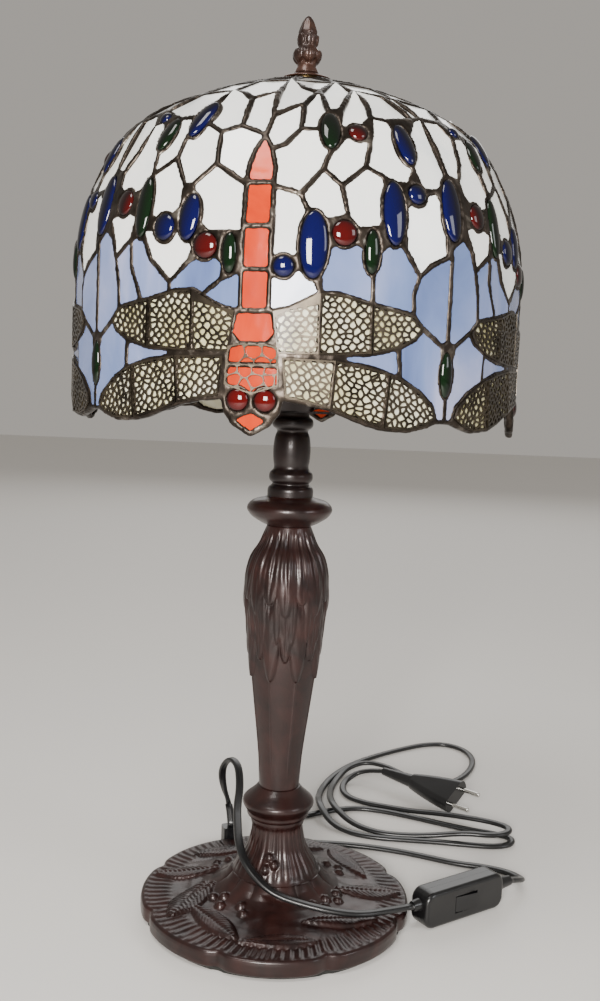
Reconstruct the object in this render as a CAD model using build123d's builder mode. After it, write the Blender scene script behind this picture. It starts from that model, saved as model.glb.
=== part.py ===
"""Table lamp with a leaded glass dragonfly shade, a cast column and base, and a mains lead.

Millimetres. The origin is the centre of the base on the table, +Z is up, and -Y is the front.
Places on the shade are given as (degrees round it, millimetres down its curve): degrees count from the
front dragonfly's back, positive to the right as seen from the front, and the curve starts at the aperture.
"""
import os
from math import acos, cos, degrees, pi, radians, sin, tan

from build123d import *

os.makedirs("parts", exist_ok=True)

# ---- shade form: three arcs from the aperture to a straight skirt ----
APERTURE_RADIUS = 15
SHADE_RADIUS = 145
SKIRT_TOP = 440
LOW_ARC, LOW_ARC_END = 139, 34
MID_ARC, MID_ARC_END = 60, 62
TOP_ARC = 330
SHADE_TURN = -9.2
PERIOD = 90

# ---- leading and glass ----
LEAD_HALF_WIDTH = 1.25
GLASS = 2.6
LATTICE_OUT = 1.4
LATTICE_IN = 2.6
SHELL_LENGTH = 305
CUT_OUT = 6
CUT_IN = 4
FILIGREE = 0.8
JEWEL_HEIGHT = 3.4
JEWEL_EDGE = 1.6

# ---- column and base ----
BASE_RADIUS = 95
FELT = 2
RIM_TOP = 12
ROD_RADIUS = 4.9
ROD_BORE = 5.3
BASE_SEAT = 31
COLLAR_BOTTOM = 70
SHAFT_BOTTOM = 92
DISC_BOTTOM = 277
NECK_BOTTOM = 297
NECK_TOP = 354

# ---- light and harp ----
SADDLE = 1.5
CUP_TOP = 374
SHELL_TOP = 412
TIP_BOTTOM = 383.5
CAP_BOTTOM = 386
CAP_TOP = 410
BULB_RADIUS = 30
BULB_CENTRE = 457
HARP_WIRE = 2
HARP_HALF_WIDTH = 50
HARP_TOP = 553
STUD_RADIUS = 3.1
RING_BOTTOM = 565.5
CAP_SEAT = 571.4
FINIAL_BOTTOM = 576
FINIAL_TOP = 613

# ---- mains lead ----
CORD_RADIUS = 3
TABLE_CORD = 3
SWITCH_SIZE = (74, 26, 18)
SWITCH_CENTRE = (131.5, 1.2, 13)
LEAD_IN_HEIGHT = 16.5
SWITCH_ANGLE = 33.7
ROCKER_TILT = 7
SCREW_AT = 32
PLUG_CENTRE_HEIGHT = 15
PLUG_REAR = (98.5, 240, PLUG_CENTRE_HEIGHT)
PLUG_ANGLE = -43.5
PLUG_ROLL = 30


# ======================================================================================
# shade form
# ======================================================================================
low_centre = Vector(SHADE_RADIUS - LOW_ARC, SKIRT_TOP)
low_end = low_centre + Vector(LOW_ARC, 0).rotate(Axis.Z, LOW_ARC_END)
mid_centre = low_end - Vector(MID_ARC, 0).rotate(Axis.Z, LOW_ARC_END)
mid_end = mid_centre + Vector(MID_ARC, 0).rotate(Axis.Z, MID_ARC_END)
top_centre = mid_end - Vector(TOP_ARC, 0).rotate(Axis.Z, MID_ARC_END)
APERTURE_ANGLE = degrees(acos((APERTURE_RADIUS - top_centre.X) / TOP_ARC))
TOP_LENGTH = radians(APERTURE_ANGLE - MID_ARC_END) * TOP_ARC
MID_LENGTH = radians(MID_ARC_END - LOW_ARC_END) * MID_ARC
LOW_LENGTH = radians(LOW_ARC_END) * LOW_ARC


def curve(down, out=0.0):
    """Radius, height and outward tilt in degrees, at a distance down the shade's curve."""
    if down < TOP_LENGTH:
        centre, radius, tilt = top_centre, TOP_ARC, APERTURE_ANGLE - degrees(down / TOP_ARC)
    elif down < TOP_LENGTH + MID_LENGTH:
        centre, radius, tilt = mid_centre, MID_ARC, MID_ARC_END - degrees((down - TOP_LENGTH) / MID_ARC)
    elif down < TOP_LENGTH + MID_LENGTH + LOW_LENGTH:
        centre, radius = low_centre, LOW_ARC
        tilt = LOW_ARC_END - degrees((down - TOP_LENGTH - MID_LENGTH) / LOW_ARC)
    else:
        return SHADE_RADIUS + out, SKIRT_TOP - (down - TOP_LENGTH - MID_LENGTH - LOW_LENGTH), 0.0
    reach = radius + out
    return centre.X + reach * cos(radians(tilt)), centre.Y + reach * sin(radians(tilt)), tilt


def shade_point(around, down, out=0.0):
    """A point on the shade, or a distance out from it."""
    radius, height, _ = curve(down, out)
    turn = radians(around + SHADE_TURN)
    return Vector(radius * sin(turn), -radius * cos(turn), height)


def shade_plane(around, down, spin=0.0):
    """The plane that touches the shade at a point: x goes round it and z points out."""
    tilt = curve(down)[2]
    turn = radians(around + SHADE_TURN)
    outward = Vector(sin(turn) * cos(radians(tilt)), -cos(turn) * cos(radians(tilt)), sin(radians(tilt)))
    across = Vector(cos(turn), sin(turn), 0)
    return Plane(shade_point(around, down), x_dir=across, z_dir=outward).rotated((0, 0, spin))


def facet_plane(points):
    """The flat plane that fits a cell's corners best."""
    middle = sum(points, Vector()) / len(points)
    normal = Vector()
    for first, second in zip(points, points[1:] + points[:1]):
        normal += (first - middle).cross(second - middle)
    if normal.dot(Vector(middle.X, middle.Y, 0)) < 0:
        normal = normal * -1
    return Plane(middle, x_dir=Vector(-middle.Y, middle.X, 0), z_dir=normal)


def set_back(corners, gap):
    """A closed outline of (x, y) corners moved inwards by a gap."""
    area = sum(x1 * y2 - x2 * y1 for (x1, y1), (x2, y2) in zip(corners, corners[1:] + corners[:1]))
    if area < 0:
        corners = corners[::-1]
    inner = []
    for before, here, after in zip(corners[-1:] + corners[:-1], corners, corners[1:] + corners[:1]):
        arrive = (Vector(*here) - Vector(*before)).normalized()
        leave = (Vector(*after) - Vector(*here)).normalized()
        half_turn = (arrive + leave).normalized()
        reach = gap / max(0.35, half_turn.dot(leave))
        inner.append((here[0] - half_turn.Y * reach, here[1] + half_turn.X * reach))
    return inner


# ======================================================================================
# the pattern of one dragonfly, repeated every quarter turn
# ======================================================================================
# jewels: around, down, half width, half height, spin, colour
JEWELS = [
    (15.7, 128, 5.6, 12.5, 0, "green"), (22.6, 128, 5.6, 5.6, 0, "red"),
    (35.0, 132, 5.5, 13.5, 8, "blue"), (56.6, 114, 4.2, 4.2, 0, "blue"),
    (61.8, 128, 5.2, 11.5, -12, "green"), (71.3, 119, 5.4, 13.5, -18, "blue"),
    (5.9, 207, 5.9, 5.9, 0, "blue"), (12.1, 195, 7.8, 18.2, 0, "blue"),
    (18.6, 188, 7.1, 7.1, 0, "red"), (24.8, 197, 4.4, 12, 0, "green"),
    (30.0, 175, 6.9, 18, 0, "blue"), (36.0, 163, 5.8, 5.8, 0, "blue"),
    (45.6, 169, 6.9, 18.2, 0, "blue"), (54.4, 170, 6.6, 7.6, 0, "red"),
    (61.3, 174, 5.4, 17.5, 0, "green"), (68.0, 186, 6.9, 7.6, 0, "blue"),
    (74.3, 181, 6.2, 13, -6, "blue"), (78.6, 196.5, 7.3, 7.3, 0, "red"),
    (84.2, 200.5, 4.3, 11, 0, "green"), (45.0, 261, 4.4, 13.2, 0, "green"),
]
EYES = [(-3.0, 279, 6.3), (3.0, 279, 6.3)]

# cells near the aperture and on the dome, clear of the body
WHITE_CELLS = [
    [(2, 2.5), (2, 58), (12, 60), (23, 58), (23, 2.5)],
    [(23, 2.5), (23, 58), (42, 58), (42, 2.5)],
    [(42, 2.5), (42, 58), (60, 58), (60, 2.5)],
    [(60, 2.5), (60, 58), (76, 58), (76, 2.5)],
    [(76, 2.5), (76, 58), (92, 58), (92, 2.5)],
    [(2, 58), (8.5, 80), (13.6, 90), (23, 58), (12, 60)],
    [(23, 58), (26.3, 81), (37, 83), (42, 84), (42, 58)],
    [(42, 58), (42, 84), (60, 84), (60, 58)],
    [(60, 58), (60, 84), (74, 86), (76, 58)],
    [(-14, 58), (-16, 86), (-11, 92), (-6.5, 101), (0.5, 94), (2, 58)],
    [(2, 58), (0.5, 94), (1.2, 118), (9, 108), (13.6, 90), (8.5, 80)],
    [(23, 58), (13.6, 90), (15.5, 114), (18.8, 112), (26.3, 81)],
    [(26.3, 81), (27.6, 103), (27, 116), (31.5, 117), (40.5, 112), (37, 83)],
    [(37, 83), (40.5, 112), (43.7, 109), (42, 84)],
    [(42, 84), (43.7, 109), (51, 108), (54, 105), (60, 84)],
    [(60, 84), (54, 105), (57, 112), (63.5, 117), (68.5, 117), (72.5, 104), (74, 86)],
    [(-16, 86), (-17.5, 104), (-16.4, 123), (-11.7, 130), (-6.5, 126), (-6.5, 101), (-11, 92)],
    [(-6.5, 101), (-6.5, 126), (0, 133), (1.2, 118), (0.5, 94)],
    [(0, 133), (1.9, 142), (5, 138), (8.5, 128), (9, 108), (1.2, 118)],
    [(9, 108), (8.5, 128), (13, 128), (15.5, 114), (13.6, 90)],
    [(18.8, 112), (18, 126), (23, 126), (27, 116), (27.6, 103), (26.3, 81)],
    [(1.9, 142), (3, 152), (3.1, 164), (9, 168), (13.8, 153), (15.6, 142), (13, 128), (8.5, 128), (5, 138)],
    [(15.6, 142), (13.8, 153), (18, 162), (23.8, 150), (25.5, 134), (20, 130)],
    [(13.8, 153), (9, 168), (10.8, 178), (15, 182), (19.3, 179), (18, 162)],
    [(18, 162), (19.3, 179), (21.5, 186), (26.5, 184), (29.5, 172), (27.9, 155), (23.8, 150)],
    [(27, 116), (25.5, 134), (23.8, 150), (27.9, 155), (30, 158), (34, 158), (36, 149), (34.5, 130),
     (31.5, 117)],
    [(40.5, 112), (35.5, 130), (36, 149), (37.5, 160), (41.3, 160), (43.3, 157), (46, 148), (43.7, 109)],
    [(41.3, 160), (36, 164), (32, 172), (32.5, 194), (36.3, 208), (39, 202), (44, 195.5), (44, 170)],
    [(43.7, 109), (46, 148), (49.5, 151), (52.4, 138), (54.5, 119), (51, 108)],
    [(54.5, 119), (52.4, 138), (49.5, 151), (50.5, 160), (54.4, 168), (59.5, 164), (62, 155), (61, 141),
     (61, 128), (58, 118)],
    [(63.5, 117), (62, 128), (61, 141), (62, 155), (67.9, 146), (68.5, 133), (70, 118)],
    [(-22.1, 146), (-18, 163), (-16, 163), (-10.9, 151), (-11.7, 130), (-16.4, 123), (-21.5, 133)],
    [(-28, 155), (-27, 165), (-26, 180), (-22, 184), (-18, 176), (-18, 163), (-22.1, 146)],
    [(-11.7, 130), (-10.9, 151), (-3.1, 163), (-3, 152), (-1.9, 142), (0, 133), (-6.5, 126)],
    [(-10.9, 151), (-16, 163), (-14.5, 182), (-11, 190), (-6, 190), (-3.1, 190), (-3.1, 163)],
    [(-3.1, 190), (-6, 192), (-6, 213), (-3.1, 209)],
    [(3.1, 164), (3.1, 202.5), (6, 204), (11, 200), (12, 185), (10.8, 178), (9, 168)],
    [(-28, 187), (-22, 186), (-15.5, 188), (-14, 198), (-15.4, 205), (-19.9, 216), (-25.5, 203)],
    [(49.3, 178), (52, 192), (53, 201), (58.5, 191), (59.5, 178), (54.5, 174)],
]

# the lower band, down to the wings and the rim
BLUE_CELLS = [
    [(45, 190), (44, 195.5), (39, 202), (36.3, 208), (35, 218), (35.3, 229.5), (37.8, 236), (43.3, 245),
     (45, 243)],
    [(45, 190), (45, 243), (47.2, 245), (52.2, 236), (54.7, 229.5), (54.2, 214), (53, 201), (51.5, 190),
     (48.7, 184)],
    [(53, 201), (54.2, 214), (54.7, 229.5), (57, 228), (62, 226), (58.6, 206), (58.5, 191)],
    [(58.5, 191), (58.6, 206), (62, 226), (64.7, 225), (70.1, 221.5), (70.1, 216), (64.5, 203), (62, 189)],
    [(-19.9, 216), (-19.9, 221.5), (-18.5, 220.5), (-14, 220.3), (-11.7, 223), (-7.3, 214), (-7, 205),
     (-11, 199), (-15.4, 205)],
    [(-7.3, 214), (-11.7, 223), (-7.5, 229), (-4, 231), (-3.1, 231), (-3.1, 209), (-6, 213)],
    [(3.1, 213), (3.1, 231), (4, 231), (7.5, 229), (14, 220.3), (11.5, 208), (6, 208)],
    [(14, 220.3), (18.5, 220.5), (25.3, 225), (25.2, 212), (24.8, 196), (18.6, 190), (13, 200)],
    [(25.2, 212), (25.3, 225), (33, 228), (35.3, 229.5), (35, 218), (36.3, 208), (32.5, 194), (30, 188),
     (25, 200)],
    [(17.7, 253), (17.8, 256), (25.5, 259), (32.5, 264), (32, 247.5), (25.5, 251.3)],
    [(-17.7, 253), (-25.5, 251.3), (-32, 247.5), (-32.5, 264), (-25.5, 259), (-17.8, 256)],
    [(37.8, 236), (36, 242), (32, 247.5), (32.5, 264), (37.6, 271), (41.4, 279), (42.3, 285), (42.7, 287.6),
     (45, 287.6), (45, 263), (43.3, 245)],
    [(52.2, 236), (47.2, 245), (45, 263), (45, 287.6), (47.3, 287.6), (47.7, 285), (48.6, 279), (52.4, 271),
     (57.5, 264), (58, 247.5), (54, 242)],
]

# right-hand wings from the thorax to the tip; the left-hand ones mirror them
UPPER_WING = [
    [(4, 231), (7.5, 229), (14, 220.3), (14, 253), (5.2, 253.5)],
    [(14, 220.3), (18.5, 220.5), (25.3, 225), (25.5, 251.3), (17.7, 253), (14, 253)],
    [(25.3, 225), (33, 228), (35.3, 229.5), (37.8, 236), (36, 242), (32, 247.5), (25.5, 251.3)],
]
LOWER_WING = [
    [(6.2, 255.5), (17.8, 256), (17, 282), (11.5, 279), (7.2, 277)],
    [(17.8, 256), (25.5, 259), (30, 262), (29, 291.5), (22.5, 287), (17, 282)],
    [(30, 262), (32.5, 264), (37.6, 271), (41.4, 279), (42.3, 285), (39.3, 290), (35, 292.5), (29, 291.5)],
]
BODY_SEGMENTS = [
    [(0, 133), (-1.9, 142), (-3, 152), (-3.1, 162), (3.1, 162), (3, 152), (1.9, 142)],
    [(-3.1, 162), (-3.1, 186), (3.1, 186), (3.1, 162)],
    [(-3.1, 186), (-3.1, 209), (3.1, 209), (3.1, 186)],
    [(-3.1, 209), (-3.1, 231), (3.1, 231), (3.1, 209)],
    [(-3.1, 231), (-4, 231), (-5, 243), (-3, 248.5), (3, 248.5), (5, 243), (4, 231), (3.1, 231)],
    [(-3, 248.5), (-5.4, 250), (-5.8, 260), (5.8, 260), (5.4, 250), (3, 248.5)],
    [(-5.8, 260), (-6, 271), (0, 276), (6, 271), (5.8, 260)],
    [(0, 284.5), (-4.3, 289.5), (0, 297.5), (4.3, 289.5)],
]
FILIGREE_SEGMENTS = (5, 6)
# what lies outside the scalloped rim
RIM_VOIDS = [
    [(0, 299), (4.2, 293), (6.3, 285.5), (6.8, 279), (11.5, 280.7), (11.5, 310), (0, 310)],
    [(11.5, 280.7), (17, 283.6), (22.5, 288.6), (25, 290.9), (25, 310), (11.5, 310)],
    [(25, 290.9), (28.8, 293.3), (35, 294.2), (35, 310), (25, 310)],
    [(35, 294.2), (40.1, 291.5), (42.7, 289), (45, 289), (45, 310), (35, 310)],
]


def mirrored(cells):
    return [[(-around, down) for around, down in cell] for cell in cells]


def turned(cell, quarters):
    return [(around + PERIOD * quarters, down) for around, down in cell]


def near(jewel, cell):
    """The jewel, in whichever quarter lies beside a cell, or None."""
    middle = sum(around for around, _ in cell) / len(cell)
    for quarters in (-1, 0, 1):
        around = jewel[0] + PERIOD * quarters
        if abs(around - middle) < 20 and min(abs(down - jewel[1]) for _, down in cell) < 40:
            return (around,) + tuple(jewel[1:])
    return None


def pane(cell, inner, outer, gap=LEAD_HALF_WIDTH, jewels=JEWELS):
    """One flat piece between two offsets from its facet, cut round the jewels that it meets."""
    points = [shade_point(*corner) for corner in cell]
    plane = facet_plane(points)
    flat = [plane.to_local_coords(point) for point in points]
    outline = set_back([(point.X, point.Y) for point in flat], gap)
    with BuildPart() as piece:
        with BuildSketch(plane.offset(inner)):
            with BuildLine():
                Polyline(*outline, close=True)
            make_face()
        extrude(amount=outer - inner)
        for jewel in jewels:
            beside = near(jewel, cell)
            if beside:
                around, down, half_width, half_height, spin = beside[:5]
                with BuildSketch(shade_plane(around, down, spin).offset(-12)):
                    Ellipse(half_width + 2 * LEAD_HALF_WIDTH - 1, half_height + 2 * LEAD_HALF_WIDTH - 1)
                extrude(amount=24, mode=Mode.SUBTRACT)
    return piece.part.solids().sort_by(SortBy.VOLUME)[-1]


def jewel_hole(around, down, half_width, half_height, spin=0.0):
    with BuildPart() as piece:
        with BuildSketch(shade_plane(around, down, spin).offset(-8)):
            Ellipse(half_width, half_height)
        extrude(amount=16)
    return piece.part.solid()


def jewel_stone(around, down, half_width, half_height, spin=0.0):
    """A cabochon: flat behind, with a rounded face."""
    plane = shade_plane(around, down, spin)
    with BuildPart() as piece:
        with BuildSketch(plane.offset(-GLASS / 2)):
            Ellipse(half_width, half_height)
        extrude(amount=GLASS / 2 + JEWEL_HEIGHT)
        front = piece.faces().sort_by(lambda face: (face.center() - plane.origin).dot(plane.z_dir))[-1]
        tightest = min(half_width**2 / half_height, half_height**2 / half_width)
        fillet(front.edges(), radius=min(JEWEL_EDGE, 0.6 * tightest))
    return piece.part.solid()


def all_round(pieces):
    """The same pieces in each quarter."""
    return [piece.rotate(Axis.Z, PERIOD * quarter) for quarter in range(4) for piece in pieces]


def save(solids, name):
    """A group of like pieces as one node of separate solids."""
    group = Compound(solids)
    group.label = name
    export_step(group, f"parts/{name}.step")


EYE_JEWELS = [(around, down, radius, radius, 0, "eye") for around, down, radius in EYES]
ALL_JEWELS = JEWELS + EYE_JEWELS
WINGS = {
    "wing_glass_upper": UPPER_WING + mirrored(UPPER_WING),
    "wing_glass_lower": LOWER_WING + mirrored(LOWER_WING),
}
GLASS_CELLS = {
    "glass_white": WHITE_CELLS,
    "glass_blue": BLUE_CELLS,
    "body_glass": BODY_SEGMENTS,
    **WINGS,
}


def make_glass():
    for name, cells in GLASS_CELLS.items():
        panes = [pane(cell, -GLASS / 2, GLASS / 2, jewels=ALL_JEWELS) for cell in cells]
        save(all_round(panes), name)


def make_filigree():
    cells = WINGS["wing_glass_upper"] + WINGS["wing_glass_lower"]
    cells = cells + [BODY_SEGMENTS[index] for index in FILIGREE_SEGMENTS]
    plates = [pane(cell, GLASS / 2, GLASS / 2 + FILIGREE, jewels=EYE_JEWELS) for cell in cells]
    save(all_round(plates), "filigree")


def make_jewels():
    for colour in ("blue", "green", "red", "eye"):
        stones = [jewel_stone(*jewel[:5]) for jewel in ALL_JEWELS if jewel[5] == colour]
        name = "dragonfly_eyes" if colour == "eye" else f"jewels_{colour}"
        save(all_round(stones), name)


def make_lattice():
    holes = [pane(cell, -CUT_IN, CUT_OUT, jewels=ALL_JEWELS) for cells in GLASS_CELLS.values()
             for cell in cells]
    holes += [jewel_hole(*jewel[:5]) for jewel in ALL_JEWELS]
    voids = [pane(cell, -16, 16, gap=-0.6, jewels=()) for cell in RIM_VOIDS + mirrored(RIM_VOIDS)]
    bottom = curve(SHELL_LENGTH)[1]
    with BuildPart() as lattice:
        with BuildSketch(Plane.XZ):
            with BuildLine():
                for out in (LATTICE_OUT, -LATTICE_IN):
                    begin = 0
                    for end in (TOP_LENGTH, TOP_LENGTH + MID_LENGTH, TOP_LENGTH + MID_LENGTH + LOW_LENGTH):
                        middle = (begin + end) / 2
                        ThreePointArc(curve(begin, out)[:2], curve(middle, out)[:2], curve(end, out)[:2])
                        begin = end
                    Line((SHADE_RADIUS + out, SKIRT_TOP), (SHADE_RADIUS + out, bottom))
                Line(curve(0, LATTICE_OUT)[:2], curve(0, -LATTICE_IN)[:2])
                Line((SHADE_RADIUS + LATTICE_OUT, bottom), (SHADE_RADIUS - LATTICE_IN, bottom))
            make_face()
        revolve(axis=Axis.Z)
        add(all_round(holes) + all_round(voids), mode=Mode.SUBTRACT)
    body = lattice.part.solids().sort_by(SortBy.VOLUME)[-1]
    save([body], "lead_lattice")


# ======================================================================================
# turned and cast pieces
# ======================================================================================
def turned_piece(name, outline, bore=ROD_BORE):
    """A solid of revolution from (radius, height) corners, bored through along the axis."""
    heights = [height for _, height in outline]
    with BuildPart() as piece:
        with BuildSketch(Plane.XZ):
            with BuildLine():
                Polyline((bore, heights[0]), *outline, (bore, heights[-1]), close=True)
            make_face()
        revolve(axis=Axis.Z)
    piece.part.label = name
    export_step(piece.part, f"parts/{name}.step")


def make_base():
    lobes = 8
    with BuildPart() as base_casting:
        with BuildSketch(Plane.XZ):
            with BuildLine():
                Polyline((ROD_BORE, 12), (14, 12), (16, 15), (55, 13), (84, 9), (89, FELT), (93.5, FELT),
                         (BASE_RADIUS, 4.5), (BASE_RADIUS, 10.5), (92.5, RIM_TOP), (84, 13.2), (66, 15.8),
                         (48, 19.6), (36, 24.5), (30, BASE_SEAT), (ROD_BORE, BASE_SEAT), close=True)
            make_face()
        revolve(axis=Axis.Z)
        with BuildSketch(Plane.XY):
            with PolarLocations(BASE_RADIUS + 6, lobes, start_angle=22.5):
                Circle(9)
        extrude(amount=RIM_TOP + 4, mode=Mode.SUBTRACT)
    base_casting.part.label = "base_casting"
    export_step(base_casting.part, "parts/base_casting.step")

    with BuildPart() as base_felt:
        with BuildSketch():
            Circle(BASE_RADIUS - 4)
            with PolarLocations(BASE_RADIUS + 6, lobes, start_angle=22.5):
                Circle(11, mode=Mode.SUBTRACT)
            Circle(12, mode=Mode.SUBTRACT)
        extrude(amount=FELT)
    base_felt.part.label = "base_felt"
    export_step(base_felt.part, "parts/base_felt.step")

    with BuildPart() as base_weight:
        with BuildSketch(Plane.XY.offset(FELT)):
            Circle(70)
            Circle(20, mode=Mode.SUBTRACT)
        extrude(amount=8)
    base_weight.part.label = "base_weight"
    export_step(base_weight.part, "parts/base_weight.step")


def make_column():
    turned_piece("trunk", [(30, BASE_SEAT), (27, 38), (23, 44), (20, 50), (18.3, 58), (17.5, 64), (19, 67),
                           (19, COLLAR_BOTTOM)])
    turned_piece("lower_collar", [(20, COLLAR_BOTTOM), (23.5, 72.5), (25, 76.5), (24.7, 80.5), (22, 85),
                                  (18.5, 89), (15, SHAFT_BOTTOM)])
    with BuildPart() as shaft:
        with BuildSketch(Plane.XZ):
            with BuildLine():
                side = Spline((14, SHAFT_BOTTOM), (16.5, 120), (20.8, 153), (25.5, 190), (29, 226),
                              (27, 248), (20, 266), (15, DISC_BOTTOM))
                Polyline(side @ 1, (ROD_BORE, DISC_BOTTOM), (ROD_BORE, SHAFT_BOTTOM), side @ 0)
            make_face()
        revolve(axis=Axis.Z)
    shaft.part.label = "shaft"
    export_step(shaft.part, "parts/shaft.step")
    turned_piece("disc_collar", [(15, DISC_BOTTOM), (19, 278.5), (26.5, 283), (29.3, 287.5), (28.8, 291),
                                 (25, 294.3), (17.5, 296), (16, NECK_BOTTOM)])
    turned_piece("neck", [(15.7, NECK_BOTTOM), (15.7, 303), (12, 305.5), (15, 308), (15, 313), (11.5, 316),
                          (12.6, 322), (12.9, 330), (12, 338), (10, 342), (14, 344.5), (14, 349.5),
                          (11, 351.5), (11, NECK_TOP)])


def hexagon_nut(name, bottom, height, across):
    with BuildPart() as nut:
        with BuildSketch(Plane.XY.offset(bottom)):
            RegularPolygon(across / 2, 6, major_radius=False)
            Circle(ROD_RADIUS, mode=Mode.SUBTRACT)
        extrude(amount=height)
    nut.part.label = name
    export_step(nut.part, f"parts/{name}.step")


def ring(name, inner, outer, bottom, top):
    turned_piece(name, [(outer, bottom), (outer, top)], bore=inner)


def make_rod():
    rod_bottom = 2.5
    ring("lamp_rod", 3.6, ROD_RADIUS, rod_bottom, 362)
    ring("rod_washer", ROD_BORE, 12, 10.5, 12)
    hexagon_nut("rod_nut_bottom", 4.5, 6, 17)
    hexagon_nut("rod_nut_top", NECK_TOP + SADDLE + 1.2, 4.5, 17)


def make_socket():
    with BuildPart() as saddle:
        with BuildSketch(Plane.XY.offset(NECK_TOP)):
            Rectangle(54, 14)
            Circle(ROD_BORE, mode=Mode.SUBTRACT)
        extrude(amount=SADDLE)
        with BuildSketch(Plane.XY.offset(NECK_TOP)):
            with Locations((26, 0), (-26, 0)):
                Rectangle(2, 10)
        extrude(amount=6)
        with BuildSketch(Plane.XY.offset(NECK_TOP + 6)):
            with Locations((25, 0), (-25, 0)):
                Circle(4)
        extrude(amount=3)
        with BuildSketch(Plane.XY.offset(NECK_TOP + 9)):
            with Locations((25, 0), (-25, 0)):
                Circle(4)
                Circle(HARP_WIRE + 0.1, mode=Mode.SUBTRACT)
        extrude(amount=8)
    saddle.part.label = "harp_saddle"
    export_step(saddle.part, "parts/harp_saddle.step")

    cup_bottom = NECK_TOP + SADDLE
    turned_piece("socket_cup", [(13, cup_bottom), (18, 362), (20.5, CUP_TOP), (19.3, CUP_TOP), (17, 363),
                                (12.5, cup_bottom + 1.2)])
    turned_piece("socket_shell", [(20.4, CUP_TOP), (20.4, SHELL_TOP), (18.9, SHELL_TOP), (18.9, CUP_TOP + 4)],
                 bore=10)
    ring("socket_thread", 13.08, 14.2, CUP_TOP + 7, 408)
    with BuildPart() as contact:
        with BuildSketch(Plane.XY.offset(CUP_TOP + 4)):
            Circle(6)
        extrude(amount=1.5)
        with BuildSketch(Plane.XY.offset(CUP_TOP + 5.5)):
            Rectangle(6, 4)
        extrude(amount=TIP_BOTTOM - CUP_TOP - 5.7)
    contact.part.label = "socket_contact"
    export_step(contact.part, "parts/socket_contact.step")
    ring("socket_insulator", 6, 18.9, CUP_TOP + 4, CUP_TOP + 7)


def make_bulb():
    turned_piece("bulb_tip", [(3, TIP_BOTTOM), (4, TIP_BOTTOM + 1), (4, CAP_BOTTOM)], bore=0)
    with BuildPart() as cap:
        with BuildSketch(Plane.XZ):
            with BuildLine():
                Polyline((0, CAP_BOTTOM), (7, CAP_BOTTOM), (13, 389), (13, CAP_TOP), (0, CAP_TOP), close=True)
            make_face()
        revolve(axis=Axis.Z)
    cap.part.label = "bulb_cap"
    export_step(cap.part, "parts/bulb_cap.step")
    with BuildPart() as globe:
        with BuildSketch(Plane.XZ):
            with BuildLine():
                Line((13, CAP_TOP), (16, 422))
                Line((16, 422), (24, BULB_CENTRE - 18))
                ThreePointArc((24, BULB_CENTRE - 18), (BULB_RADIUS, BULB_CENTRE),
                              (0, BULB_CENTRE + BULB_RADIUS))
                Line((0, BULB_CENTRE + BULB_RADIUS), (0, CAP_TOP))
                Line((0, CAP_TOP), (13, CAP_TOP))
            make_face()
        revolve(axis=Axis.Z)
    globe.part.label = "bulb_glass"
    export_step(globe.part, "parts/bulb_glass.step")


def make_harp():
    foot = NECK_TOP + 9
    route = [(25, 0, foot), (25, 0, 386), (HARP_HALF_WIDTH, 0, 416), (HARP_HALF_WIDTH, 0, 500),
             (15, 0, HARP_TOP), (-15, 0, HARP_TOP), (-HARP_HALF_WIDTH, 0, 500), (-HARP_HALF_WIDTH, 0, 416),
             (-25, 0, 386), (-25, 0, foot)]
    with BuildPart() as harp:
        with BuildLine() as wire:
            FilletPolyline(*route, radius=12)
        with BuildSketch(Plane(route[0], z_dir=(0, 0, 1))):
            Circle(HARP_WIRE)
        sweep(path=wire.wires()[0])
    harp.part.label = "harp"
    export_step(harp.part, "parts/harp.step")
    seat = HARP_TOP + HARP_WIRE - 0.4
    turned_piece("harp_stud", [(9, seat), (9, seat + 2), (5, seat + 3), (5, RING_BOTTOM),
                               (STUD_RADIUS, RING_BOTTOM), (STUD_RADIUS, 587)], bore=0)
    turned_piece("shade_ring", [(14.6, RING_BOTTOM), (14.6, 568), (11.5, 568), (11.5, CAP_SEAT)],
                 bore=STUD_RADIUS + 0.1)
    turned_piece("top_cap", [(16.8, CAP_SEAT), (17, CAP_SEAT + 1), (11, 574.6), (8, 575.8), (7, FINIAL_BOTTOM)],
                 bore=STUD_RADIUS + 0.1)
    ring("finial_insert", STUD_RADIUS + 0.05, 4.3, FINIAL_BOTTOM, 588)
    with BuildPart() as finial:
        with BuildSketch(Plane.XZ):
            with BuildLine():
                Polyline((4.4, FINIAL_BOTTOM), (8.4, FINIAL_BOTTOM), (7.2, 579), (6.2, 581), (6.6, 583.5),
                         (9, 586), (9.2, 589), (7.6, 592), (6.2, 594), (6.9, 597), (7, 599.5), (5.6, 603),
                         (3.8, 606), (3.2, 609), (1.6, 612), (0, FINIAL_TOP), (0, 588), (4.4, 588),
                         close=True)
            make_face()
        revolve(axis=Axis.Z)
    finial.part.label = "finial"
    export_step(finial.part, "parts/finial.step")


# ======================================================================================
# mains lead
# ======================================================================================
def switch_plane(offset=0.0):
    """Centre of the switch: x along it, y up, z out of its large face towards the front."""
    turn = radians(SWITCH_ANGLE)
    outward = Vector(sin(turn), -cos(turn), 0)
    along = Vector(cos(turn), sin(turn), 0)
    return Plane(Vector(*SWITCH_CENTRE) + outward * offset, x_dir=along, z_dir=outward)


def along_switch(distance, height=SWITCH_CENTRE[2]):
    turn = radians(SWITCH_ANGLE)
    return (SWITCH_CENTRE[0] + distance * cos(turn), SWITCH_CENTRE[1] + distance * sin(turn), height)


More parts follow.
